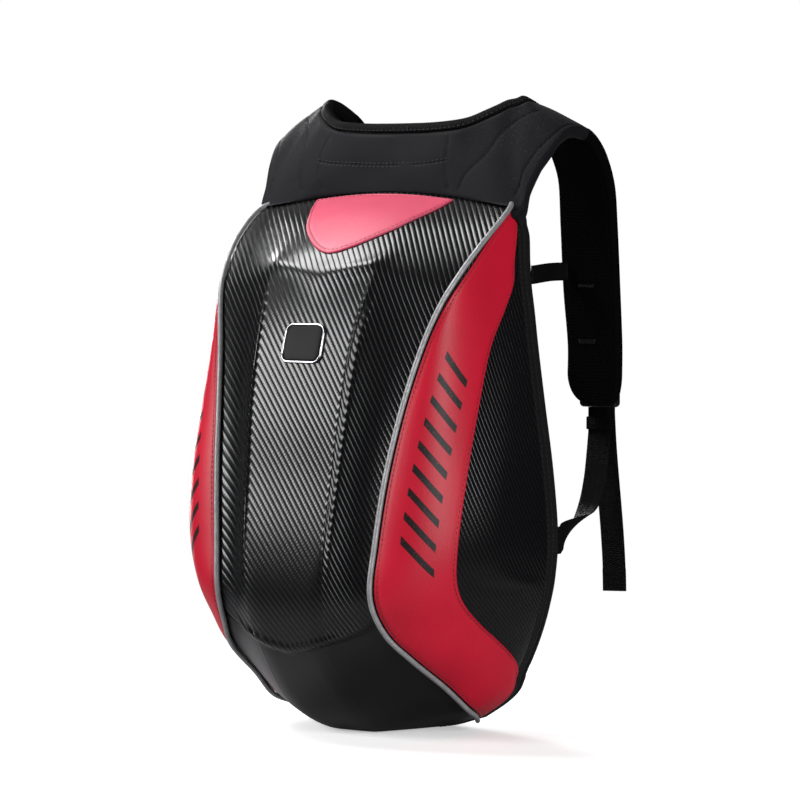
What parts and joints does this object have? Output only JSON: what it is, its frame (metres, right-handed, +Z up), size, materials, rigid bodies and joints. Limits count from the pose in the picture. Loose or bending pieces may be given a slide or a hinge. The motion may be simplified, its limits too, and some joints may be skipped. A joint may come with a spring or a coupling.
{
  "type": "hard shell backpack",
  "caption": "Hard shell backpack with a black twill-look moulded shell, red side panels, grey piping, a padded shoulder yoke and two webbing-tailed straps",
  "frame": {"origin": "Centre of the bounding box in X and Y, on the floor under the shell's sole.", "axes": "+X is the pack's right as seen from the front, -Y is the front of the shell, +Y the wearer's side with the straps, +Z is up."},
  "size_m": [0.338, 0.3446, 0.5805],
  "materials": {
    "shell_twill": "satin",
    "panel_red": "satin",
    "panel_pink": "satin",
    "piping_grey": "satin",
    "badge_black": "gloss",
    "badge_silver": "satin",
    "cloth_black": "matte",
    "mesh_black": "matte",
    "webbing_black": "matte",
    "buckle_black": "satin"
  },
  "bodies": {
    "root": {"shell": "shell_twill", "side_panel_right": "panel_red", "side_panel_left": "panel_red", "reflective_piping_right": "piping_grey", "reflective_piping_left": "piping_grey", "top_panel": "panel_pink", "badge_frame": "badge_silver", "badge_plate": "badge_black", "gusset_band": "cloth_black", "edge_piping": "cloth_black", "back_panel": "mesh_black", "yoke": "cloth_black", "neck_binding": "webbing_black", "strap_pad_right": "cloth_black", "strap_pad_left": "cloth_black", "ladder_lock_right": "buckle_black", "ladder_lock_left": "buckle_black", "lower_webbing_right": "webbing_black", "lower_webbing_left": "webbing_black", "strap_keeper_right": "webbing_black", "strap_keeper_left": "webbing_black", "tail_webbing_right": "webbing_black", "tail_webbing_left": "webbing_black", "stabilizer_right": "webbing_black", "stabilizer_left": "webbing_black"}
  },
  "joints": []
}
